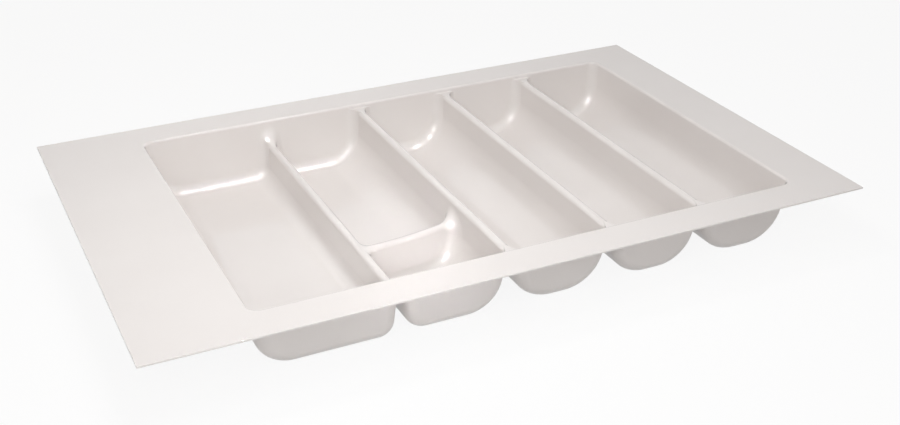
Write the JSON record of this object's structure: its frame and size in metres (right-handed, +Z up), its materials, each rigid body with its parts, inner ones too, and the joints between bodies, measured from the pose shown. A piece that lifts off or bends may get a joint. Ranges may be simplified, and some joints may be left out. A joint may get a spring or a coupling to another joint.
{
  "type": "cutlery tray",
  "caption": "Wide trim-to-fit drawer tray for cutlery: a flat flange round drawn-down, round-bottomed compartments, with a low cross divider.",
  "frame": {"origin": "under the middle of the flange's outline, at the height of the compartment floors' undersides", "axes": "+X across the columns, from the wide trimming margin to the narrow one; +Y from the front edge, which has the short cell, to the back edge; +Z up, out of the compartments"},
  "size_m": [0.8446, 0.5334, 0.077],
  "materials": {
    "white_plastic": "glossy, moulded"
  },
  "bodies": {
    "root": {"left_trim_margin": "white_plastic", "right_trim_margin": "white_plastic", "front_trim_margin": "white_plastic", "back_trim_margin": "white_plastic", "compartment_1_wide": "white_plastic", "compartment_2_rear": "white_plastic", "compartment_2_front": "white_plastic", "compartment_3": "white_plastic", "compartment_4": "white_plastic", "compartment_5": "white_plastic"}
  },
  "joints": []
}
